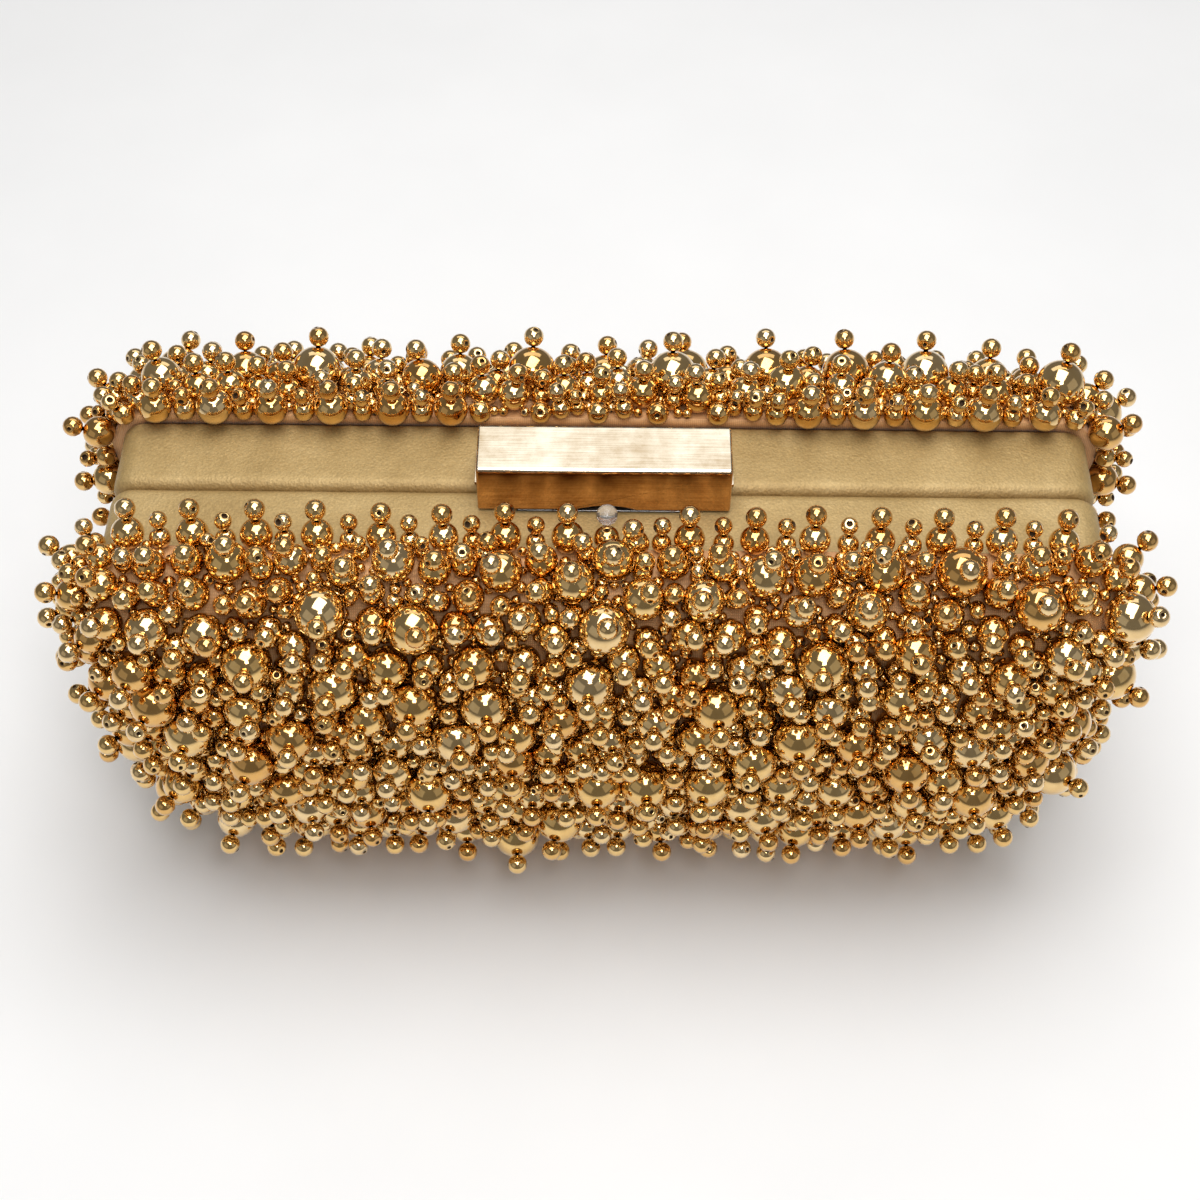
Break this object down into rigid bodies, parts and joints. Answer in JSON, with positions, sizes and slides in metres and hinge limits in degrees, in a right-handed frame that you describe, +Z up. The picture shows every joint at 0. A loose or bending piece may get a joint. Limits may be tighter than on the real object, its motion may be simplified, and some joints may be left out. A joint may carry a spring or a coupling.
{
  "type": "evening bag",
  "caption": "Hard-framed box clutch with beaded half-shells, leather-covered rims, a long base hinge and a lift-up magnetic bar clasp.",
  "frame": {"origin": "on the resting plane, under the seam between the two halves, at mid length", "axes": "+X along the bag's length to the right seen from the front, +Y to the back, +Z up"},
  "size_m": [0.224, 0.0936, 0.104],
  "materials": {
    "gold_leather": "pale metallic gold leather with a fine grain, folded round the rim",
    "core_aluminium": "bare rolled strip, hidden in the leather",
    "shell_board": "moulded shell, hidden between the fabric and the lining",
    "silk_fabric": "tan orange satin weave, seen in the gaps between the beads",
    "gold_beads": "mirror gold metallised round beads, stitched on in stacks",
    "lining_satin": "plain champagne satin",
    "hinge_brass": "satin brass",
    "clasp_gold": "pale gold plating, brushed along its length",
    "insert_plastic": "black moulded insert",
    "clasp_steel": "bright steel"
  },
  "bodies": {
    "back_half": {"back_rim_leather": "gold_leather", "back_rim_core": "core_aluminium", "back_shell": "shell_board", "back_fabric": "silk_fabric", "back_beadwork": "gold_beads", "back_lining": "lining_satin", "back_hinge_leaf": "hinge_brass", "back_hinge_rivet_1": "hinge_brass", "back_hinge_rivet_2": "hinge_brass", "back_hinge_rivet_3": "hinge_brass", "back_hinge_rivet_4": "hinge_brass", "hinge_pin": "clasp_steel", "clasp_base": "clasp_gold", "clasp_screw_1": "clasp_steel", "clasp_screw_2": "clasp_steel", "clasp_pin": "clasp_steel", "clasp_spring": "clasp_steel"},
    "front_half": {"front_rim_leather": "gold_leather", "front_rim_core": "core_aluminium", "front_shell": "shell_board", "front_fabric": "silk_fabric", "front_beadwork": "gold_beads", "front_lining": "lining_satin", "front_hinge_leaf": "hinge_brass", "front_hinge_rivet_1": "hinge_brass", "front_hinge_rivet_2": "hinge_brass", "front_hinge_rivet_3": "hinge_brass", "front_hinge_rivet_4": "hinge_brass", "strike_plate": "clasp_steel", "strike_rivet_1": "clasp_steel", "strike_rivet_2": "clasp_steel"},
    "clasp": {"clasp_bar": "clasp_gold", "clasp_insert": "insert_plastic", "clasp_magnet": "clasp_steel"}
  },
  "joints": [
    {"name": "bag_opening", "type": "hinge", "parent": "back_half", "child": "front_half", "pos_m": [0, 0, 0.0018], "axis": [1, 0, 0], "range_deg": [0, 75]},
    {"name": "clasp_lift", "type": "hinge", "parent": "back_half", "child": "clasp", "pos_m": [0, 0.008, 0.0948], "axis": [-1, 0, 0], "range_deg": [0, 75], "stiffness_Nm_per_rad": 0.01, "springref_deg": -20.05}
  ]
}
